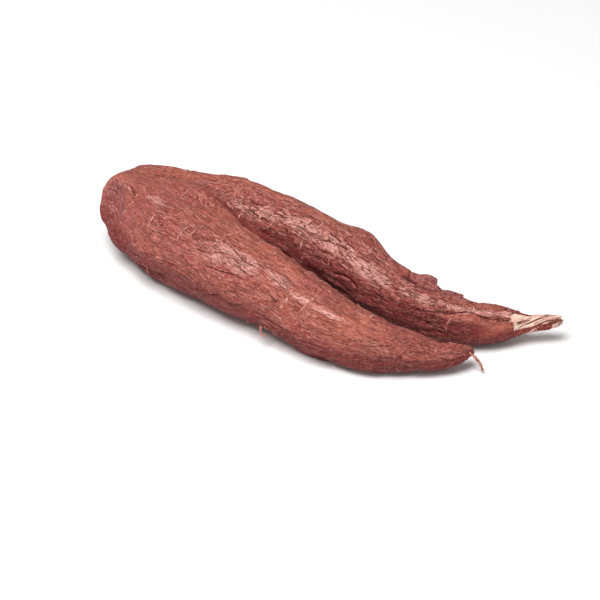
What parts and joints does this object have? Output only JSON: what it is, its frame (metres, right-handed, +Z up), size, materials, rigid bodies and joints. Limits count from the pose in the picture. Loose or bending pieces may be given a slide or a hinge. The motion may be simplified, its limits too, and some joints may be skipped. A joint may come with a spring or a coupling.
{
  "type": "cassava root",
  "caption": "Forked cassava root with a blunt crown, two tapering legs, scaly brown bark and a torn fibrous tip.",
  "frame": {"origin": "middle of the root's footprint, on the surface that it lies on", "axes": "+X runs from the blunt crown to the leg tips, +Y across towards the longer leg, +Z up"},
  "size_m": [0.3174, 0.1234, 0.0583],
  "materials": {
    "bark": "rough scaly root bark, red-brown with pinkish and orange-brown patches, satin on the ridges"
  },
  "bodies": {
    "root": {"cassava_root": "bark"}
  },
  "joints": []
}
